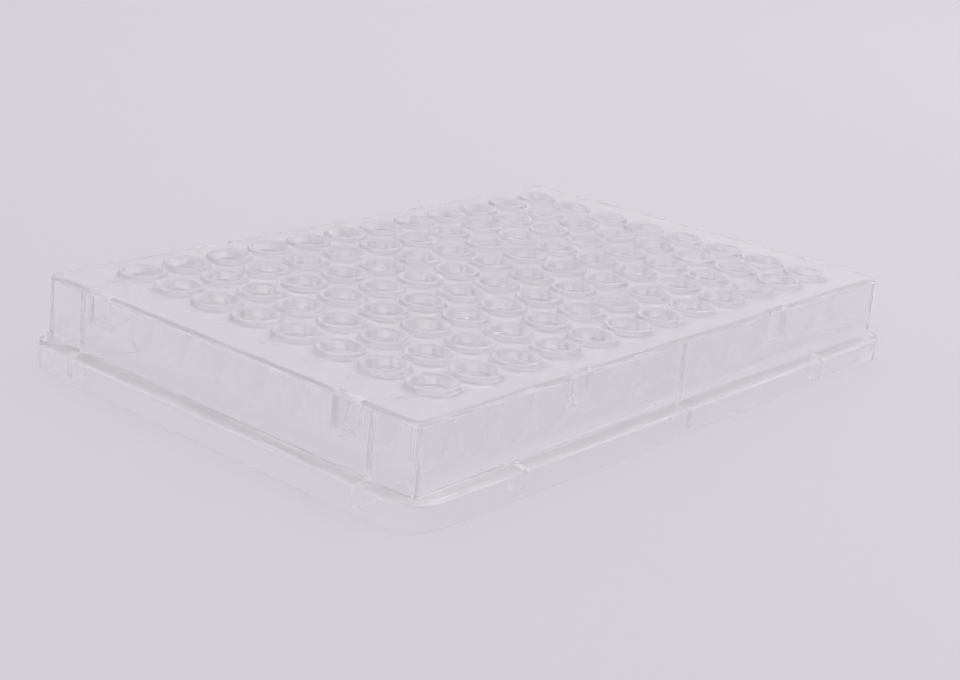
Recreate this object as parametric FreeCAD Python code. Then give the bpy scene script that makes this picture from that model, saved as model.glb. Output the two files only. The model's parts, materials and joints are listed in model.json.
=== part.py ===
"""A 96-well plate of clear polypropylene: one moulding, 12 columns by 8 rows on a 9 mm pitch.

Frame: millimetres, X along the plate's length, Y along its width, Z up.  The origin is the
middle of the footprint on the plane that the plate stands on.  Column 1 is at -X, row A at +Y.

The moulding is a deck on a skirt.  The skirt stands on a wider foot flange with the standard
footprint, each well is a thin conical cup that hangs from the deck under a raised rim, and
eight windows cut the skirt just under the deck.
"""
import FreeCAD, Part
import math
import os

# Wells: the standard 96 pattern
COLUMNS = 12
ROWS = 8
PITCH = 9.0

# Footprint and heights above the bench
FOOT_LENGTH = 127.76
FOOT_WIDTH = 85.48
FOOT_CORNER = 5.8
FLANGE_HEIGHT = 4.6
DECK_HEIGHT = 15.0
RIM_HEIGHT = 0.8

# Skirt: its face stands back from the foot flange and leans in towards the deck
FLANGE_LEDGE = 2.3
SKIRT_CORNER = 1.6
SKIRT_INNER_CORNER = 0.4
SKIRT_DRAFT = 1.0
SKIRT_WALL = 1.2
DECK_THICKNESS = 1.2
TOP_EDGE_RADIUS = 0.6
FLANGE_EDGE_RADIUS = 0.6

# One well, from the rim down: a chamfered mouth, a straight cup, then a cone to a small flat tip
RIM_RADIUS = 3.85
MOUTH_CHAMFER = 0.25
CUP_WALL = 0.45
CUP_RADIUS = 2.95
CUP_DEPTH = 5.0
TIP_RADIUS = 0.5
TIP_CLEARANCE = 1.2

# Windows: each opens the skirt below the deck and takes the deck's edge back by the wall
WINDOW_WIDTH = 5.2
WINDOW_SILL = 9.9
WINDOW_OFFSET = 3 * PITCH

# Stiffening ribs inside the skirt, and the short ones that only brace the flange
RIB_THICKNESS = 1.2
RIB_FOOT_GAP = 0.8
GUSSET_OFFSET = 4.5 * PITCH

# Two places this close are the same place
SAME = 1e-6

# Heights and lengths that follow
RIM_TOP = DECK_HEIGHT + RIM_HEIGHT
DECK_UNDERSIDE = DECK_HEIGHT - DECK_THICKNESS
CUP_END = RIM_TOP - CUP_DEPTH
TIP_TOP = TIP_CLEARANCE + CUP_WALL
SKIRT_LENGTH = FOOT_LENGTH - 2 * FLANGE_LEDGE
SKIRT_WIDTH = FOOT_WIDTH - 2 * FLANGE_LEDGE
LEAN = math.tan(math.radians(SKIRT_DRAFT))
FIRST_COLUMN = (COLUMNS - 1) * PITCH / 2
FIRST_ROW = (ROWS - 1) * PITCH / 2


def rounded_rectangle(length, width, corner, height):
    """A closed wire: a rectangle with round corners, centred, lying at the given height."""
    x = length / 2
    y = width / 2
    bend = corner * math.cos(math.radians(45))
    edges = []
    for turn in range(4):
        half, side = (x, y) if turn % 2 == 0 else (y, x)
        spin = FreeCAD.Rotation(FreeCAD.Vector(0, 0, 1), 90 * turn)
        centre = FreeCAD.Vector(half - corner, side - corner, height)
        run_start = spin.multVec(FreeCAD.Vector(half, corner - side, height))
        arc_start = spin.multVec(centre + FreeCAD.Vector(corner, 0, 0))
        arc_middle = spin.multVec(centre + FreeCAD.Vector(bend, bend, 0))
        arc_end = spin.multVec(centre + FreeCAD.Vector(0, corner, 0))
        edges.append(Part.makeLine(run_start, arc_start))
        edges.append(Part.Arc(arc_start, arc_middle, arc_end).toShape())
    return Part.Wire(edges)


def slab(length, width, corner, bottom, top):
    """A straight block with round vertical corners."""
    face = Part.Face(rounded_rectangle(length, width, corner, bottom))
    return face.extrude(FreeCAD.Vector(0, 0, top - bottom))


def leaning_block(corner, bottom, top, inset):
    """A block whose four sides lean in by the skirt's draft, drawn inset from the skirt's face."""
    wires = []
    for height in (bottom, top):
        shrink = 2 * inset + 2 * LEAN * (height - FLANGE_HEIGHT)
        length = SKIRT_LENGTH - shrink
        width = SKIRT_WIDTH - shrink
        wires.append(rounded_rectangle(length, width, corner, height))
    return Part.makeLoft(wires, True, True)


def edges_at(shape, height):
    """The edges of a shape that lie flat at one height."""
    found = []
    for edge in shape.Edges:
        box = edge.BoundBox
        if abs(box.ZMin - height) < SAME and abs(box.ZMax - height) < SAME:
            found.append(edge)
    return found


def outer_form():
    """The outside of the skirt and its foot flange, with their top edges rounded."""
    flange = slab(FOOT_LENGTH, FOOT_WIDTH, FOOT_CORNER, 0, FLANGE_HEIGHT)
    flange = flange.makeFillet(FLANGE_EDGE_RADIUS, edges_at(flange, FLANGE_HEIGHT))
    skirt = leaning_block(SKIRT_CORNER, 0, DECK_HEIGHT, 0)
    skirt = skirt.makeFillet(TOP_EDGE_RADIUS, edges_at(skirt, DECK_HEIGHT))
    return flange.fuse(skirt)


def inner_form():
    """The hollow under the deck, one wall inside the outer form and open at the bottom."""
    inset = 2 * SKIRT_WALL
    corner = FOOT_CORNER - SKIRT_WALL
    step = slab(FOOT_LENGTH - inset, FOOT_WIDTH - inset, corner, 0, FLANGE_HEIGHT - SKIRT_WALL)
    hollow = leaning_block(SKIRT_INNER_CORNER, 0, DECK_UNDERSIDE, SKIRT_WALL)
    return step.fuse(hollow)


def turned(profile):
    """The solid that a closed (radius, height) profile sweeps around the Z axis."""
    points = [FreeCAD.Vector(radius, 0, height) for radius, height in profile]
    face = Part.Face(Part.makePolygon(points + points[:1]))
    return face.revolve(FreeCAD.Vector(0, 0, 0), FreeCAD.Vector(0, 0, 1), 360)


def well_body():
    """The outside of one well: its rim above the deck and its cup below."""
    middle = (DECK_HEIGHT + DECK_UNDERSIDE) / 2
    outside = CUP_RADIUS + CUP_WALL
    return turned([
        (0, RIM_TOP), (RIM_RADIUS, RIM_TOP), (RIM_RADIUS, middle), (outside, middle),
        (outside, CUP_END), (TIP_RADIUS + CUP_WALL, TIP_CLEARANCE), (0, TIP_CLEARANCE),
    ])


def well_bore():
    """The inside of one well: the chamfered mouth, the straight cup and the cone to the tip."""
    return turned([
        (0, RIM_TOP), (CUP_RADIUS + MOUTH_CHAMFER, RIM_TOP), (CUP_RADIUS, RIM_TOP - MOUTH_CHAMFER),
        (CUP_RADIUS, CUP_END), (TIP_RADIUS, TIP_TOP), (0, TIP_TOP),
    ])


def at_each_well(shape):
    """A copy of a shape on every well's axis."""
    copies = []
    for column in range(COLUMNS):
        for row in range(ROWS):
            place = FreeCAD.Vector(column * PITCH - FIRST_COLUMN, FIRST_ROW - row * PITCH, 0)
            copies.append(shape.translated(place))
    return copies


def on_both_ends(shape, axis):
    """A shape and its mirror image across the plane through the origin, square to an axis."""
    return [shape, shape.mirror(FreeCAD.Vector(0, 0, 0), axis)]


def upright_slab(x_start, x_end, y_start, y_end, bottom, top):
    """A plain box between two corners."""
    size = (x_end - x_start, y_end - y_start, top - bottom)
    return Part.makeBox(*size, FreeCAD.Vector(x_start, y_start, bottom))


def end_ribs():
    """Full-height ribs from the short sides to the first and last well of the end columns."""
    ribs = []
    for y in (-FIRST_ROW, FIRST_ROW):
        rib = upright_slab(FIRST_COLUMN, FOOT_LENGTH / 2, y - RIB_THICKNESS / 2,
                           y + RIB_THICKNESS / 2, RIB_FOOT_GAP, DECK_HEIGHT)
        ribs += on_both_ends(rib, FreeCAD.Vector(1, 0, 0))
    return ribs


def side_ribs():
    """On each long side, a full-height rib at the middle and a flange gusset either side of it."""
    ribs = []
    for x in (-GUSSET_OFFSET, 0, GUSSET_OFFSET):
        inner_edge = FIRST_ROW if x == 0 else SKIRT_WIDTH / 2 - SKIRT_WALL
        top = DECK_HEIGHT if x == 0 else FLANGE_HEIGHT
        rib = upright_slab(x - RIB_THICKNESS / 2, x + RIB_THICKNESS / 2, inner_edge,
                           FOOT_WIDTH / 2, RIB_FOOT_GAP, top)
        ribs += on_both_ends(rib, FreeCAD.Vector(0, 1, 0))
    return ribs


def windows():
    """The cutters of the eight windows, two in each side, open upwards through the deck's edge."""
    lean_in = LEAN * (DECK_HEIGHT - FLANGE_HEIGHT)
    cutters = []
    for offset in (-WINDOW_OFFSET, WINDOW_OFFSET):
        start = offset - WINDOW_WIDTH / 2
        end = offset + WINDOW_WIDTH / 2
        inner_x = SKIRT_LENGTH / 2 - lean_in - SKIRT_WALL
        inner_y = SKIRT_WIDTH / 2 - lean_in - SKIRT_WALL
        end_cut = upright_slab(inner_x, FOOT_LENGTH / 2, start, end, WINDOW_SILL, RIM_TOP)
        side_cut = upright_slab(start, end, inner_y, FOOT_WIDTH / 2, WINDOW_SILL, RIM_TOP)
        cutters += on_both_ends(end_cut, FreeCAD.Vector(1, 0, 0))
        cutters += on_both_ends(side_cut, FreeCAD.Vector(0, 1, 0))
    return cutters


def well_plate():
    """The whole moulding as one solid."""
    outside = outer_form()
    ribs = [rib.common(outside) for rib in end_ribs() + side_ribs()]
    shell = outside.cut(inner_form())
    solid = shell.fuse(ribs + at_each_well(well_body()))
    solid = solid.cut(at_each_well(well_bore()) + windows())
    return solid.removeSplitter()


os.makedirs("parts", exist_ok=True)
well_plate().exportStep("parts/well_plate.step")
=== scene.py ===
# %% [markdown]
# # A clear well plate
# The object is one thin moulding in clear plastic: a deck with 96 small conical cups hanging
# under it, on a skirt with a wider foot. Almost nothing about it is colour. It shows itself by
# the way its edges, rims and cups bend the light of the room, so the lesson is about two
# things: a closed surface that is clean enough for light to pass through, and a plain scene
# that gives it something to bend.
#
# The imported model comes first, as a frame that nothing here moves.

# %% Load the frame
import json
import math

import bmesh
import bpy
from mathutils import Matrix, Vector

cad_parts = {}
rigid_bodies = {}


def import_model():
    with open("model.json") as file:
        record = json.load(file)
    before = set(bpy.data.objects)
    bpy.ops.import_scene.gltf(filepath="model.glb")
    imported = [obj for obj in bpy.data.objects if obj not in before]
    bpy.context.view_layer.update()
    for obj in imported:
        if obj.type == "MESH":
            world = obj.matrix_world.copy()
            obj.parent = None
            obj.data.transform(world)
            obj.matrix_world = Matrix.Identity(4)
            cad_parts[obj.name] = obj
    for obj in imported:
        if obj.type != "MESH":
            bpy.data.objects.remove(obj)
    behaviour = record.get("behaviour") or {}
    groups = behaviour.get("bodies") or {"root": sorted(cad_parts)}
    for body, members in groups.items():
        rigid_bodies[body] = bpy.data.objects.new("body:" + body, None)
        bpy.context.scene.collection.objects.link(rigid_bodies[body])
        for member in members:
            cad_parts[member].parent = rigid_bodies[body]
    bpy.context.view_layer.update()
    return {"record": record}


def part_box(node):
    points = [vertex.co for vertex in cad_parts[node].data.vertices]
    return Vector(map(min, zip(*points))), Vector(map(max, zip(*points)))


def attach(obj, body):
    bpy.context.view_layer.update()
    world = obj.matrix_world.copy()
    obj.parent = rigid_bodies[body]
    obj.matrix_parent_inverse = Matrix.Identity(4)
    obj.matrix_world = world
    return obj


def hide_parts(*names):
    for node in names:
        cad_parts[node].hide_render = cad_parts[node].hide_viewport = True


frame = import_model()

LOW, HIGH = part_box("well_plate")
print("frame box in mm:", [round(1000 * side, 2) for side in HIGH - LOW])

# %% [markdown]
# ## Sizes
# Every later cell works from the same few sizes. The foot and the height are read from the
# frame's box. The well grid is read from the openings that the part's record states: two wells
# in one column give the pitch, and the first of them gives the place of the whole grid.

# %% Sizes
MM = 0.001
OPENINGS = {entry["name"]: entry["box_m"] for entry in frame["record"]["physics"]["openings"]}


def opening_centre(name):
    """The middle of a stated opening, seen from above."""
    low, high = (Vector(corner) for corner in OPENINGS[name])
    return (low + high) / 2


PITCH = (opening_centre("well_A2") - opening_centre("well_B2")).y
COLUMNS = 12
ROWS = 8
FIRST_COLUMN = opening_centre("well_A2").x - PITCH
FIRST_ROW = opening_centre("well_A2").y

RIM_HEIGHT = 0.8 * MM
DECK_THICKNESS = 1.2 * MM
RIM_TOP = HIGH.z
DECK = RIM_TOP - RIM_HEIGHT
UNDERSIDE = DECK - DECK_THICKNESS
FLANGE = 4.6 * MM
FOOT_X = HIGH.x
FOOT_Y = HIGH.y
LEDGE = 2.3 * MM
WALL = 1.2 * MM
DRAFT_DEGREES = 1.0
LEAN = math.tan(math.radians(DRAFT_DEGREES))
WELD = 0.01 * MM
FINE_WELD = 0.001 * MM
print("pitch in mm:", round(PITCH / MM, 3))
print("first well in mm:", round(FIRST_COLUMN / MM, 2), round(FIRST_ROW / MM, 2))

# %% [markdown]
# ## One well, turned like a pot
# A well is round, so it is a profile spun about its axis. The profile that matters runs from
# the deck up over the rim, down the mouth and into the cup. A second one is the outside of the
# cup, under the deck. The corners that the mould leaves round get their own small arcs here,
# because light that passes through a clear part shows every edge twice.
#
# The spin makes 40 steps. A multiple of eight lets the ring of points around each well be
# pulled out onto a square, ten steps to a side, and the squares then join edge to edge into a
# deck with no seams.

# %% The two profiles of a well
STEPS = 40
RIM_RADIUS = 3.85 * MM
CUP_RADIUS = 2.95 * MM
CUP_WALL = 0.45 * MM
MOUTH_CHAMFER = 0.25 * MM
CUP_DEPTH = 5.0 * MM
CUP_END = RIM_TOP - CUP_DEPTH
TIP_RADIUS = 0.5 * MM
TIP_HEIGHT = 1.2 * MM
SOFT_EDGE = 0.2 * MM
ROOT_FILLET = 0.3 * MM
ARC_PARTS = 2
TIP_FLAT = 0.7


def arc(centre, radius, start, end, parts):
    """Points along an arc in the plane of the profile: (distance from the axis, height)."""
    points = []
    for part in range(parts + 1):
        angle = math.radians(start + (end - start) * part / parts)
        points.append((centre[0] + radius * math.cos(angle), centre[1] + radius * math.sin(angle)))
    return points


def inside_profile():
    """From the deck over the rim and down to the bottom of the cup."""
    root = (RIM_RADIUS + ROOT_FILLET, DECK + ROOT_FILLET)
    edge = (RIM_RADIUS - SOFT_EDGE, RIM_TOP - SOFT_EDGE)
    mouth = CUP_RADIUS + MOUTH_CHAMFER
    points = arc(root, ROOT_FILLET, 270, 180, ARC_PARTS)
    points += arc(edge, SOFT_EDGE, 0, 90, ARC_PARTS)
    points += [(mouth + SOFT_EDGE / 2, RIM_TOP), (mouth - SOFT_EDGE / 4, RIM_TOP - SOFT_EDGE / 3)]
    points += [(CUP_RADIUS, RIM_TOP - 2 * MOUTH_CHAMFER), (CUP_RADIUS, CUP_END)]
    points += [(TIP_RADIUS, TIP_HEIGHT + CUP_WALL), (0.0, TIP_HEIGHT + CUP_WALL - TIP_RADIUS / 4)]
    return points


def outside_profile():
    """From the deck's underside down the outside of the cup to its tip."""
    radius = CUP_RADIUS + CUP_WALL
    tip = TIP_RADIUS + CUP_WALL
    root = (radius + ROOT_FILLET, UNDERSIDE - ROOT_FILLET)
    points = arc(root, ROOT_FILLET, 90, 180, ARC_PARTS)
    points += [(radius, CUP_END), (tip, TIP_HEIGHT + tip / 4)]
    points += [(tip * TIP_FLAT, TIP_HEIGHT), (0.0, TIP_HEIGHT)]
    return points


print("profile points:", len(inside_profile()), "inside,", len(outside_profile()), "outside")

# %% Spin a profile into a square tile of the deck


def spun_tile(profile, height):
    """One pitch square of the deck with the profile turned in its middle, as a new bmesh."""
    tile = bmesh.new()
    chain = [tile.verts.new((radius, 0, level)) for radius, level in profile]
    edges = [tile.edges.new(pair) for pair in zip(chain, chain[1:])]
    bmesh.ops.spin(
        tile, geom=chain + edges, cent=(0, 0, 0), axis=(0, 0, 1),
        angle=math.tau, steps=STEPS, use_merge=True,
    )
    bmesh.ops.remove_doubles(tile, verts=tile.verts, dist=FINE_WELD)
    ring = [edge for edge in tile.edges if edge.is_boundary]
    grown = bmesh.ops.extrude_edge_only(tile, edges=ring)["geom"]
    for vert in (item for item in grown if isinstance(item, bmesh.types.BMVert)):
        vert.co = on_square(vert.co, height)
    return tile


def on_square(point, height):
    """Where a point of the well's outer ring goes on the edge of its pitch square."""
    eighth = math.pi / 4
    angle = math.atan2(point.y, point.x)
    quarter = round(angle / (2 * eighth))
    along = (angle - quarter * 2 * eighth) / eighth
    spot = Vector((PITCH / 2, along * PITCH / 2, 0))
    spot.rotate(Matrix.Rotation(quarter * 2 * eighth, 3, "Z"))
    return Vector((spot.x, spot.y, height))


top_tile = spun_tile(inside_profile(), DECK)
under_tile = spun_tile(outside_profile(), UNDERSIDE)
print("faces per well:", len(top_tile.faces), "inside,", len(under_tile.faces), "outside")

# %% [markdown]
# ## The deck
# The tile is copied to every well and the copies are welded where they meet. What is left is
# one sheet for the top of the deck and one for its underside, each with an open border that
# has ten points for every pitch.

# %% Lay the tiles out


def laid_out(tile):
    """The tile copied to all wells and welded into one sheet."""
    sheet = tile.copy()
    start = Vector((FIRST_COLUMN, FIRST_ROW, 0))
    bmesh.ops.translate(sheet, verts=sheet.verts, vec=start)
    for count, step in ((COLUMNS, Vector((PITCH, 0, 0))), (ROWS, Vector((0, -PITCH, 0)))):
        first = sheet.verts[:] + sheet.edges[:] + sheet.faces[:]
        for copy in range(1, count):
            made = bmesh.ops.duplicate(sheet, geom=first)["geom"]
            moved = [item for item in made if isinstance(item, bmesh.types.BMVert)]
            bmesh.ops.translate(sheet, verts=moved, vec=step * copy)
    bmesh.ops.remove_doubles(sheet, verts=sheet.verts, dist=WELD)
    return sheet


plate = laid_out(top_tile)
under = laid_out(under_tile)
print("deck sheets:", len(plate.faces), "faces above,", len(under.faces), "below")

# %% [markdown]
# ## The skirt, one ring after another
# From the border of the deck the surface goes out to the edge, down the outside of the skirt,
# over the foot flange, under it and up the inside again. Each step extrudes the open border
# and moves the new points onto the next ring, which is a rectangle with round corners. Points
# keep their place along the sides, so columns of faces stand upright, and only the last few
# before each corner share out the straight that is left and the curve. The points three faces
# either side of a window's middle move a little as well, to stand on the window's edges.

# %% Rings around the plate
GRID_X = COLUMNS * PITCH / 2
GRID_Y = ROWS * PITCH / 2
FACE_LENGTH = PITCH / (STEPS // 4)
NEAR = FACE_LENGTH / 4
STRAIGHT_SHARE = 3
CORNER_SHARE = 4
WINDOW_OFFSET = 3 * PITCH
WINDOW_FACES = 3
WINDOW_HALF = 2.6 * MM
WINDOW_SILL = 9.9 * MM


def slid(distance, half, corner, grid_half):
    """How far along its side a border point goes, and its angle round the corner."""
    turn_start = grid_half - (STRAIGHT_SHARE + CORNER_SHARE) * FACE_LENGTH
    if abs(abs(distance - WINDOW_OFFSET) - WINDOW_FACES * FACE_LENGTH) < NEAR:
        distance = WINDOW_OFFSET + math.copysign(WINDOW_HALF, distance - WINDOW_OFFSET)
    if distance <= turn_start + NEAR:
        return distance, 0.0
    steps = (distance - turn_start) / FACE_LENGTH
    straight = half - corner - turn_start
    if steps <= STRAIGHT_SHARE:
        return turn_start + straight * steps / STRAIGHT_SHARE, 0.0
    angle = math.pi / 4 * (steps - STRAIGHT_SHARE) / CORNER_SHARE
    return half - corner + corner * math.sin(angle), angle


def on_ring(grid_point, half_x, half_y, corner, height):
    """Where a point of the deck's border goes on a ring of that size."""
    x, y = abs(grid_point.x), abs(grid_point.y)
    if y > GRID_Y - NEAR:
        along, angle = slid(x, half_x, corner, GRID_X)
        spot = (along, half_y - corner * (1 - math.cos(angle)))
    else:
        along, angle = slid(y, half_y, corner, GRID_Y)
        spot = (half_x - corner * (1 - math.cos(angle)), along)
    along_x = math.copysign(spot[0], grid_point.x)
    along_y = math.copysign(spot[1], grid_point.y)
    return Vector((along_x, along_y, height))


def skirt_at(height, inset=0.0):
    """Half length and half width of the leaning skirt at a height, drawn in from its face."""
    shrink = LEDGE + LEAN * (height - FLANGE) + inset
    return FOOT_X - shrink, FOOT_Y - shrink


def rounded_edge(half_x, half_y, corner, top, radius, parts):
    """Rings over a rounded top edge, from the flat inside it down to the upright side."""
    rings = []
    for part in range(parts + 1):
        angle = math.pi / 2 * (1 - part / parts)
        inset = radius * (1 - math.cos(angle))
        height = top - radius + radius * math.sin(angle)
        rings.append((half_x - inset, half_y - inset, corner - inset, height))
    return rings


EDGE_RADIUS = 0.6 * MM
FOOT_EDGE = 0.15 * MM
SKIRT_CORNER = 1.6 * MM
INNER_CORNER = 0.4 * MM
FOOT_CORNER = 5.8 * MM
STEP_TOP = FLANGE - WALL
EDGE_PARTS = 3
JAMB_PARTS = 5


def skirt_rings():
    """All rings from the top of the deck's edge, round the foot and up inside to the underside."""
    rings = [(*skirt_at(DECK, WALL), INNER_CORNER, DECK)]
    rings += rounded_edge(*skirt_at(DECK), SKIRT_CORNER, DECK, EDGE_RADIUS, EDGE_PARTS)
    rings += [(*skirt_at(WINDOW_SILL), SKIRT_CORNER, WINDOW_SILL)]
    root = FLANGE + ROOT_FILLET
    rings += [(*skirt_at(root), SKIRT_CORNER, root)]
    rings += [(*skirt_at(FLANGE, -ROOT_FILLET), SKIRT_CORNER + ROOT_FILLET, FLANGE)]
    rings += rounded_edge(FOOT_X, FOOT_Y, FOOT_CORNER, FLANGE, EDGE_RADIUS, EDGE_PARTS)
    rings += [(FOOT_X, FOOT_Y, FOOT_CORNER, FOOT_EDGE)]
    rings += [(FOOT_X - FOOT_EDGE, FOOT_Y - FOOT_EDGE, FOOT_CORNER - FOOT_EDGE, 0.0)]
    rings += [(FOOT_X - WALL, FOOT_Y - WALL, FOOT_CORNER - WALL, 0.0)]
    rings += [(FOOT_X - WALL, FOOT_Y - WALL, FOOT_CORNER - WALL, STEP_TOP)]
    rings += [(*skirt_at(STEP_TOP, WALL), INNER_CORNER, STEP_TOP)]
    for part in range(JAMB_PARTS + 1):
        height = WINDOW_SILL + (UNDERSIDE - WINDOW_SILL) * part / JAMB_PARTS
        rings += [(*skirt_at(height, WALL), INNER_CORNER, height)]
    return rings


# %% Extrude the border ring by ring


def border_of(sheet):
    """The open edges of a sheet."""
    return [edge for edge in sheet.edges if edge.is_boundary]


def grown_border(sheet, border, place):
    """Extrudes a border and puts each new point where place says, from its home on the grid."""
    home = sheet.verts.layers.float_vector["home"]
    grown = bmesh.ops.extrude_edge_only(sheet, edges=border)["geom"]
    for vert in (item for item in grown if isinstance(item, bmesh.types.BMVert)):
        vert.co = place(Vector(vert[home]))
    return [item for item in grown if isinstance(item, bmesh.types.BMEdge)]


def grow_skirt(sheet, rings):
    """Extrudes the sheet's border through all the rings and back to the grid, under the deck."""
    home = sheet.verts.layers.float_vector.new("home")
    border = border_of(sheet)
    for vert in {vert for edge in border for vert in edge.verts}:
        vert[home] = vert.co
    for ring in rings:
        border = grown_border(sheet, border, lambda point, ring=ring: on_ring(point, *ring))
    grown_border(sheet, border, lambda point: Vector((point.x, point.y, UNDERSIDE)))


grow_skirt(plate, skirt_rings())
print("rings:", len(skirt_rings()), "points in each:", len(border_of(plate)))

# %% Close it with the underside


def add_to(target, source):
    """Copies one bmesh into another and frees it."""
    scratch = bpy.data.meshes.new("scratch")
    source.to_mesh(scratch)
    source.free()
    target.from_mesh(scratch)
    bpy.data.meshes.remove(scratch)


add_to(plate, under)
bmesh.ops.remove_doubles(plate, verts=plate.verts, dist=WELD)
print("open edges left:", len(border_of(plate)))

# %% [markdown]
# ## Windows
# Eight windows go through the skirt under the deck. The columns of faces were set to their
# edges already, so a window is made by taking away the faces outside and inside, and joining
# the two holes with a bridge, which makes the sill, the jambs and the cut edge of the deck.

# %% Cut the windows
HAIR = FACE_LENGTH / 100


def in_window(point, side_axis, side, offset):
    """True for a point of the skirt's surface that a window takes away."""
    along_axis = 1 - side_axis
    if abs(point[along_axis] - offset) > WINDOW_HALF:
        return False
    if point.z < WINDOW_SILL:
        return False
    return point[side_axis] * side > skirt_at(point.z, WALL)[side_axis] - HAIR


def cut_window(sheet, side_axis, side, offset):
    """Opens one window and bridges the hole in the outside to the hole in the inside."""
    gone = [f for f in sheet.faces if in_window(f.calc_center_median(), side_axis, side, offset)]
    bmesh.ops.delete(sheet, geom=gone, context="FACES")
    return bmesh.ops.bridge_loops(sheet, edges=border_of(sheet))["faces"]


window_faces = 0
for side_axis in (0, 1):
    for side in (-1, 1):
        for offset in (-WINDOW_OFFSET, WINDOW_OFFSET):
            window_faces += len(cut_window(plate, side_axis, side, offset))
print("faces in the windows:", window_faces, "open edges left:", len(border_of(plate)))


def face_outwards(solid):
    """Turns all the faces of a closed solid outwards."""
    bmesh.ops.recalc_face_normals(solid, faces=solid.faces)
    if solid.calc_volume(signed=True) < 0:
        bmesh.ops.reverse_faces(solid, faces=solid.faces)


face_outwards(plate)
print("volume in cubic mm:", round(plate.calc_volume(signed=True) / MM**3))

# %% [markdown]
# ## Ribs
# Inside the skirt stand thin upright ribs. Full-height ones tie the short sides to the corner
# wells and stiffen the middle of the long sides, and small gussets brace the flange. Each is a
# flat outline pushed out to the rib's thickness. A clear part must be one closed skin, because
# light bends wherever it crosses a face, so the ribs are joined to the plate with a
# boolean instead of being pushed into it.

# %% Rib outlines
RIB_HALF = 0.6 * MM
RIB_FOOT_GAP = 0.8 * MM
GUSSET_OFFSET = 4.5 * PITCH


def rib_outline(inner, cup_axis, side_axis):
    """Corners (distance from the middle, height) of a full-height rib, ending inside the walls."""
    skin = WALL / 2
    foot = (FOOT_X, FOOT_Y)[side_axis] - skin
    low = skirt_at(FLANGE, skin)[side_axis]
    high = skirt_at(DECK, skin)[side_axis]
    points = [(foot, RIB_FOOT_GAP), (foot, FLANGE - skin), (low, FLANGE - skin), (high, DECK - skin)]
    if cup_axis is None:
        return points + [(inner, DECK - skin), (inner, RIB_FOOT_GAP)]
    cup = cup_axis + CUP_RADIUS + CUP_WALL / 2
    tip = cup_axis + TIP_RADIUS + CUP_WALL / 2
    points += [(cup, DECK - skin), (cup, CUP_END)]
    return points + [(tip, TIP_HEIGHT + CUP_WALL), (tip, RIB_FOOT_GAP)]


def gusset_outline():
    """Corners of a short brace between the skirt's foot and the flange's edge."""
    foot = FOOT_Y - WALL / 2
    inner = skirt_at(FLANGE, WALL)[1]
    top = FLANGE - WALL / 2
    return [(foot, RIB_FOOT_GAP), (foot, top), (inner, top), (inner, RIB_FOOT_GAP)]


def add_rib(ribs, outline, side_axis, side, offset):
    """Pushes one outline out to a rib that stands across a side at an offset along it."""
    corners = []
    for distance, height in outline:
        place = [0.0, 0.0, height]
        place[side_axis] = side * distance
        place[1 - side_axis] = offset - RIB_HALF
        corners.append(ribs.verts.new(place))
    face = ribs.faces.new(corners)
    pushed = bmesh.ops.extrude_face_region(ribs, geom=[face])["geom"]
    thickness = Vector((0, 0, 0))
    thickness[1 - side_axis] = 2 * RIB_HALF
    moved = [item for item in pushed if isinstance(item, bmesh.types.BMVert)]
    bmesh.ops.translate(ribs, verts=moved, vec=thickness)


ribs = bmesh.new()
for side in (-1, 1):
    for row_offset in (-FIRST_ROW, FIRST_ROW):
        add_rib(ribs, rib_outline(None, -FIRST_COLUMN, 0), 0, side, row_offset)
    add_rib(ribs, rib_outline(FIRST_ROW, None, 1), 1, side, 0.0)
    for gusset_offset in (-GUSSET_OFFSET, GUSSET_OFFSET):
        add_rib(ribs, gusset_outline(), 1, side, gusset_offset)
face_outwards(ribs)
for face in ribs.faces:
    face.material_index = 1
print("ribs:", len(ribs.faces), "faces")

# %% Join them to the plate
SHARP = math.radians(50)
PLASTIC = bpy.data.materials.new("hazy_plastic")
RIB_PLASTIC = bpy.data.materials.new("clear_rib")


def new_object(name, mesh_source):
    """An object at the origin from a bmesh, which is then freed."""
    mesh = bpy.data.meshes.new(name)
    mesh_source.to_mesh(mesh)
    mesh_source.free()
    made = bpy.data.objects.new(name, mesh)
    bpy.context.scene.collection.objects.link(made)
    return made


def applied(piece):
    """The piece with its modifiers made part of its mesh."""
    bpy.context.view_layer.update()
    graph = bpy.context.evaluated_depsgraph_get()
    mesh = bpy.data.meshes.new_from_object(piece.evaluated_get(graph))
    piece.modifiers.clear()
    piece.data = mesh
    return piece


plate_body = new_object("plate_body", plate)
rib_cutter = new_object("rib_cutter", ribs)
for piece in (plate_body, rib_cutter):
    piece.data.materials.append(PLASTIC)
    piece.data.materials.append(RIB_PLASTIC)
union = plate_body.modifiers.new("ribs", "BOOLEAN")
union.operation = "UNION"
union.solver = "MANIFOLD"
union.object = rib_cutter
applied(plate_body)
bpy.data.objects.remove(rib_cutter)
plate_body.data.shade_smooth()
plate_body.data.set_sharp_from_angle(angle=SHARP)
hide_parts("well_plate")
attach(plate_body, "root")
print("plate body:", len(plate_body.data.polygons), "faces")

# %% [markdown]
# ## Row letters
# Down the margin beside the first column stand small raised letters, one for each row, so that
# a user can name a well. They are text objects with a little depth, turned to meshes before
# they are placed, and they sink a hair into the deck so that no gap shows under them.

# %% Row letters
LETTER_SIZE = 2.6 * MM
LETTER_RAISE = 0.08 * MM
LETTER_SINK = 0.02 * MM
LETTER_MARGIN = 6.4 * MM
LETTER_CURVE = 4


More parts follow.
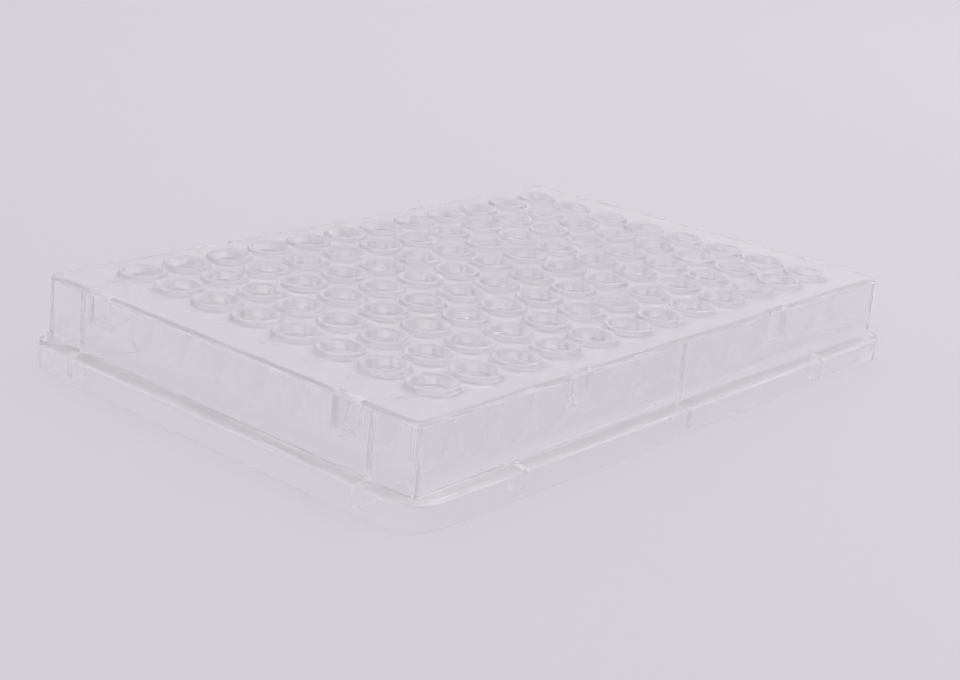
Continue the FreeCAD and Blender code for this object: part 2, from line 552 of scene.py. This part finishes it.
def row_letter(name, place):
    """One raised letter, as a bmesh centred on its place."""
    text = bpy.data.curves.new(name, "FONT")
    text.body = name
    text.size = LETTER_SIZE
    text.extrude = (LETTER_RAISE + LETTER_SINK) / 2
    text.align_x = "CENTER"
    text.align_y = "CENTER"
    text.resolution_u = LETTER_CURVE
    holder = bpy.data.objects.new(name, text)
    mesh = bpy.data.meshes.new_from_object(holder)
    letter = bmesh.new()
    letter.from_mesh(mesh)
    bpy.data.objects.remove(holder)
    bpy.data.meshes.remove(mesh)
    bmesh.ops.remove_doubles(letter, verts=letter.verts, dist=FINE_WELD)
    bmesh.ops.translate(letter, verts=letter.verts, vec=place)
    return letter


letters = bmesh.new()
for row, name in enumerate("ABCDEFGH"):
    level = DECK + (LETTER_RAISE - LETTER_SINK) / 2
    place = Vector((FIRST_COLUMN - LETTER_MARGIN, FIRST_ROW - row * PITCH, level))
    add_to(letters, row_letter(name, place))
face_outwards(letters)
row_letters = new_object("row_letters", letters)
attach(row_letters, "root")
print("row letters:", len(row_letters.data.polygons), "faces")

# %% [markdown]
# ## Writing a material in plain sums
# A node tree is easier to read as arithmetic. The small class below holds one output socket,
# and the sums written with it add Math nodes. Any other node is made by one method of the
# finish, from its type, its settings and what goes into its sockets.

# %% A socket that can be added and multiplied


class Value:
    """One output of a node, which can be used in sums."""

    def __init__(self, finish, socket):
        self.finish = finish
        self.socket = socket

    def __add__(self, other):
        return self.finish.sum("ADD", self, other)

    def __radd__(self, other):
        return self.finish.sum("ADD", other, self)

    def __sub__(self, other):
        return self.finish.sum("SUBTRACT", self, other)

    def __rsub__(self, other):
        return self.finish.sum("SUBTRACT", other, self)

    def __mul__(self, other):
        return self.finish.sum("MULTIPLY", self, other)

    def __rmul__(self, other):
        return self.finish.sum("MULTIPLY", other, self)


class Finish:
    """A node tree that is being written, for a material or for the world."""

    def __init__(self, owner):
        owner.use_nodes = True
        self.tree = owner.node_tree
        self.tree.nodes.clear()

    def node(self, kind, settings, inputs, output=0):
        """A new node: its settings are set first, then the values or links of its sockets."""
        made = self.tree.nodes.new(kind)
        for name, value in settings.items():
            setattr(made, name, value)
        for name, value in inputs.items():
            if isinstance(value, Value):
                self.tree.links.new(value.socket, made.inputs[name])
            else:
                made.inputs[name].default_value = value
        return Value(self, made.outputs[output]) if made.outputs else None

    def sum(self, operation, first, second):
        """A Math node on two numbers or links."""
        return self.node("ShaderNodeMath", {"operation": operation}, {0: first, 1: second})


# %% [markdown]
# ## Hazy plastic
# The plate is polypropylene, uncoloured and a little milky: light goes through it, but what is
# behind comes out softened. The shader is a mix of two. One is clear glass with a slight
# roughness, which bends the light and blurs what is seen through a wall. The other is the milk,
# which scatters the light both forwards and back. The milk of the outer faces has a colour and
# the glass has none. On the inner faces, which a ray meets from inside the plastic, the milk
# takes almost nothing off, so light that crosses a wall is darkened at one face and not at both.
#
# The share of milk sets the look. On the real plate the deck and the rims look calmer than the
# walls, so they get more of it. The walls get a little less than a quarter, because from about
# there on the cups behind a wall vanish, probably through the noise filter that runs after the
# render. The cross-ribs get none: with milk they came out as dark lines, for a reason that
# wasn't found, so this is a way round and not a fact about the plastic. All the shares were
# found by trial. A large soft noise moves the share and the roughness a little, because plastic
# freezes unevenly as it flows, and a faint bump breaks up the reflections.
#
# A path tracer finds few of the ways in which light gets through hundreds of curved walls, and
# the floor under a clear part comes out much too dark. The usual stand-in is used: for the rays
# that ask how much light arrives, the plastic is a plain see-through sheet that takes off a
# little at each face. The eye still sees the real, bending plastic.

# %% Hazy plastic
DECK_MILK = 0.33
WALL_MILK = 0.24
INNER_MILK = 0.22
MILK_THROUGH = 0.5
WALL_HAZE = 0.10
DULL_FROM = DECK - 0.8 * MM
DULL_TO = DECK - 0.5 * MM
HAZE_LEAST = 0.8
HAZE_SPREAD = 0.4
MILK_LEAST = 0.94
MILK_SPREAD = 0.12
FLOW_SCALE = 60.0
SKIN_SCALE = 400.0
BUMP_STRENGTH = 0.05
BUMP_HEIGHT = 0.02 * MM
BEND = 1.49
GLASS_COLOUR = (1.0, 1.0, 1.0, 1.0)
OUTER_COLOUR = (0.84, 0.83, 0.86, 1.0)
INNER_COLOUR = (0.995, 0.985, 1.0, 1.0)
PASSED_ON = (0.980, 0.980, 0.980, 1.0)


def milk_of(finish, colour):
    """Milk of one colour, which scatters light back and lets some of it through."""
    sent_back = finish.node("ShaderNodeBsdfDiffuse", {}, {"Color": colour})
    let_through = finish.node("ShaderNodeBsdfTranslucent", {}, {"Color": colour})
    return finish.node("ShaderNodeMixShader", {}, {0: MILK_THROUGH, 1: sent_back, 2: let_through})


def write_plastic(material, deck_milk, wall_milk, inner_milk):
    """Fills a material with clear plastic and its shares of milk: deck, walls, inner faces."""
    finish = Finish(material)
    place = finish.node("ShaderNodeTexCoord", {}, {}, "Object")
    flow = finish.node(
        "ShaderNodeTexNoise", {}, {"Vector": place, "Scale": FLOW_SCALE, "Detail": 2.0}, "Fac",
    )
    skin = finish.node(
        "ShaderNodeTexNoise", {}, {"Vector": place, "Scale": SKIN_SCALE, "Detail": 3.0}, "Fac",
    )
    bump = finish.node(
        "ShaderNodeBump", {},
        {"Height": skin + flow, "Strength": BUMP_STRENGTH, "Distance": BUMP_HEIGHT},
    )
    height = finish.node("ShaderNodeSeparateXYZ", {}, {"Vector": place}, "Z")
    dull = finish.node(
        "ShaderNodeMapRange", {},
        {"Value": height, "From Min": DULL_FROM, "From Max": DULL_TO},
    )
    glass = finish.node("ShaderNodeBsdfPrincipled", {}, {
        "Base Color": GLASS_COLOUR,
        "Roughness": WALL_HAZE * (HAZE_LEAST + HAZE_SPREAD * flow) * (1 - dull),
        "IOR": BEND,
        "Transmission Weight": 1.0,
        "Normal": bump,
    })
    behind = finish.node("ShaderNodeNewGeometry", {}, {}, "Backfacing")
    milk = finish.node("ShaderNodeMixShader", {}, {
        0: behind,
        1: milk_of(finish, OUTER_COLOUR),
        2: milk_of(finish, INNER_COLOUR),
    })
    level = wall_milk + (deck_milk - wall_milk) * dull
    outer = level * (MILK_LEAST + MILK_SPREAD * flow)
    share = outer + (inner_milk - outer) * behind
    plastic = finish.node("ShaderNodeMixShader", {}, {0: share, 1: glass, 2: milk})
    sheet = finish.node("ShaderNodeBsdfTransparent", {}, {"Color": PASSED_ON})
    scattered = finish.node("ShaderNodeLightPath", {}, {}, "Is Diffuse Ray")
    to_lamp = finish.node("ShaderNodeLightPath", {}, {}, "Is Shadow Ray")
    lit = finish.node("ShaderNodeMixShader", {}, {0: scattered, 1: plastic, 2: sheet})
    whole = finish.node("ShaderNodeMixShader", {}, {0: to_lamp, 1: lit, 2: sheet})
    finish.node("ShaderNodeOutputMaterial", {}, {"Surface": whole})


write_plastic(PLASTIC, DECK_MILK, WALL_MILK, INNER_MILK)
write_plastic(RIB_PLASTIC, 0.0, 0.0, 0.0)
row_letters.data.materials.append(PLASTIC)
clear_faces = sum(face.material_index == 1 for face in plate_body.data.polygons)
print("clear faces of the ribs:", clear_faces, "of", len(plate_body.data.polygons))

# %% [markdown]
# ## Floor and light
# A clear part only shows what is around it, so the surroundings are the real material here. The
# floor is one pale sheet, and the room round it is pale too, but dimmer low down than overhead.
# That difference is what draws the edges of a clear part: in an even room it would vanish. The
# room is also a little brighter on one side, so that the plate's two visible sides differ. One
# large soft lamp stands high to one side for the glints on the rims. The floor lies a hair below
# the foot, because two faces at exactly the same height fight over which of them is seen.

# %% Floor
FLOOR_COLOUR = (0.720, 0.702, 0.746, 1.0)
FLOOR_HALF = 3.0
FLOOR_GAP = 0.03 * MM
FLOOR_ROUGHNESS = 0.8
FLOOR_GLOSS = 0.1


def pale_floor():
    """A large flat floor just under the plate."""
    sheet = bmesh.new()
    bmesh.ops.create_grid(sheet, x_segments=1, y_segments=1, size=FLOOR_HALF)
    bmesh.ops.translate(sheet, verts=sheet.verts, vec=(0, 0, -FLOOR_GAP))
    floor = new_object("floor", sheet)
    material = bpy.data.materials.new("floor_paper")
    finish = Finish(material)
    surface = finish.node("ShaderNodeBsdfPrincipled", {}, {
        "Base Color": FLOOR_COLOUR,
        "Roughness": FLOOR_ROUGHNESS,
        "Specular IOR Level": FLOOR_GLOSS,
    })
    finish.node("ShaderNodeOutputMaterial", {}, {"Surface": surface})
    floor.data.materials.append(material)


pale_floor()

# %% Room light
ROOM_COLOUR = (0.985, 0.97, 1.0, 1.0)
ROOM_LOW = 0.72
ROOM_RISE = 0.10
ROOM_SIDE = 0.22
BRIGHT_SIDE = (0.627, -0.779, 0.0)
LAMP_PLACE = (0.77, -0.15, 1.2)
LAMP_SIZE = 0.5
LAMP_POWER = 4.0


def room_light():
    """A pale room that grows brighter towards the ceiling and towards one side."""
    world = bpy.data.worlds.new("room")
    bpy.context.scene.world = world
    finish = Finish(world)
    aim = finish.node("ShaderNodeTexCoord", {}, {}, "Generated")
    height = finish.node("ShaderNodeSeparateXYZ", {}, {"Vector": aim}, "Z")
    above = finish.node("ShaderNodeClamp", {}, {"Value": height})
    across = finish.node(
        "ShaderNodeVectorMath", {"operation": "DOT_PRODUCT"}, {0: aim, 1: BRIGHT_SIDE}, "Value",
    )
    glow = ROOM_LOW + ROOM_RISE * above + ROOM_SIDE * across
    room = finish.node("ShaderNodeBackground", {}, {"Color": ROOM_COLOUR, "Strength": glow})
    finish.node("ShaderNodeOutputWorld", {}, {"Surface": room})


def soft_lamp(name, place, size, power):
    """A square area lamp that looks at the middle of the plate."""
    light = bpy.data.lights.new(name, "AREA")
    light.size = size
    light.energy = power
    lamp = bpy.data.objects.new(name, light)
    bpy.context.scene.collection.objects.link(lamp)
    lamp.location = place
    lamp.rotation_euler = Vector(place).to_track_quat("Z", "Y").to_euler()


room_light()
soft_lamp("overhead_lamp", LAMP_PLACE, LAMP_SIZE, LAMP_POWER)

# %% [markdown]
# ## Camera
# The camera looks down on one corner at a low angle, close enough for the near corner to loom.
# Its place is written as a turn, a height angle and a distance, with the small tilt that it was
# held at, so each number can be changed by itself.

# %% Camera
AZIMUTH = math.radians(-51.14)
ELEVATION = math.radians(19.12)
ROLL = math.radians(5.34)
DISTANCE = 290.25 * MM
AIM_RIGHT = 2.70 * MM
AIM_UP = -2.09 * MM
FOCAL_LENGTH = 62.94
SENSOR = 36.0
SHIFT_X = -0.0231
SHIFT_Y = 0.0320
NEAREST = 10 * MM
FARTHEST = 20.0


def corner_camera():
    """The camera at its angle, height and tilt."""
    back = Vector((
        math.sin(AZIMUTH) * math.cos(ELEVATION),
        -math.cos(AZIMUTH) * math.cos(ELEVATION),
        math.sin(ELEVATION),
    ))
    level = Vector((math.cos(AZIMUTH), math.sin(AZIMUTH), 0))
    upright = back.cross(level)
    right = math.cos(ROLL) * level + math.sin(ROLL) * upright
    up = math.cos(ROLL) * upright - math.sin(ROLL) * level
    view = bpy.data.cameras.new("corner_camera")
    view.lens = FOCAL_LENGTH
    view.sensor_width = SENSOR
    view.shift_x = SHIFT_X
    view.shift_y = SHIFT_Y
    view.clip_start = NEAREST
    view.clip_end = FARTHEST
    camera = bpy.data.objects.new("corner_camera", view)
    bpy.context.scene.collection.objects.link(camera)
    turn = Matrix((right, up, back)).transposed().to_4x4()
    place = DISTANCE * back + AIM_RIGHT * right + AIM_UP * up
    camera.matrix_world = Matrix.Translation(place) @ turn
    bpy.context.scene.camera = camera


corner_camera()
bpy.context.scene.view_settings.view_transform = "Standard"

# %% [markdown]
# ## Light paths
# A ray that enters this plate crosses the skirt, a few cups and the skirt again, and each wall
# has two faces. Inside a wall it may also run along it, mirrored from face to face. The renderer
# stops a ray after four mirrorings or a dozen crossings unless it is told otherwise, and the
# ribs would then show as dark lines. The see-through stand-in carries the light to the floor, so
# the slow search for the same light by way of the bending plastic is switched off.

# %% Light paths
CROSSINGS = 64
paths = bpy.context.scene.cycles
paths.max_bounces = CROSSINGS
paths.transmission_bounces = CROSSINGS
paths.glossy_bounces = CROSSINGS
paths.diffuse_bounces = CROSSINGS
paths.transparent_max_bounces = 2 * CROSSINGS
paths.caustics_refractive = False
paths.caustics_reflective = False
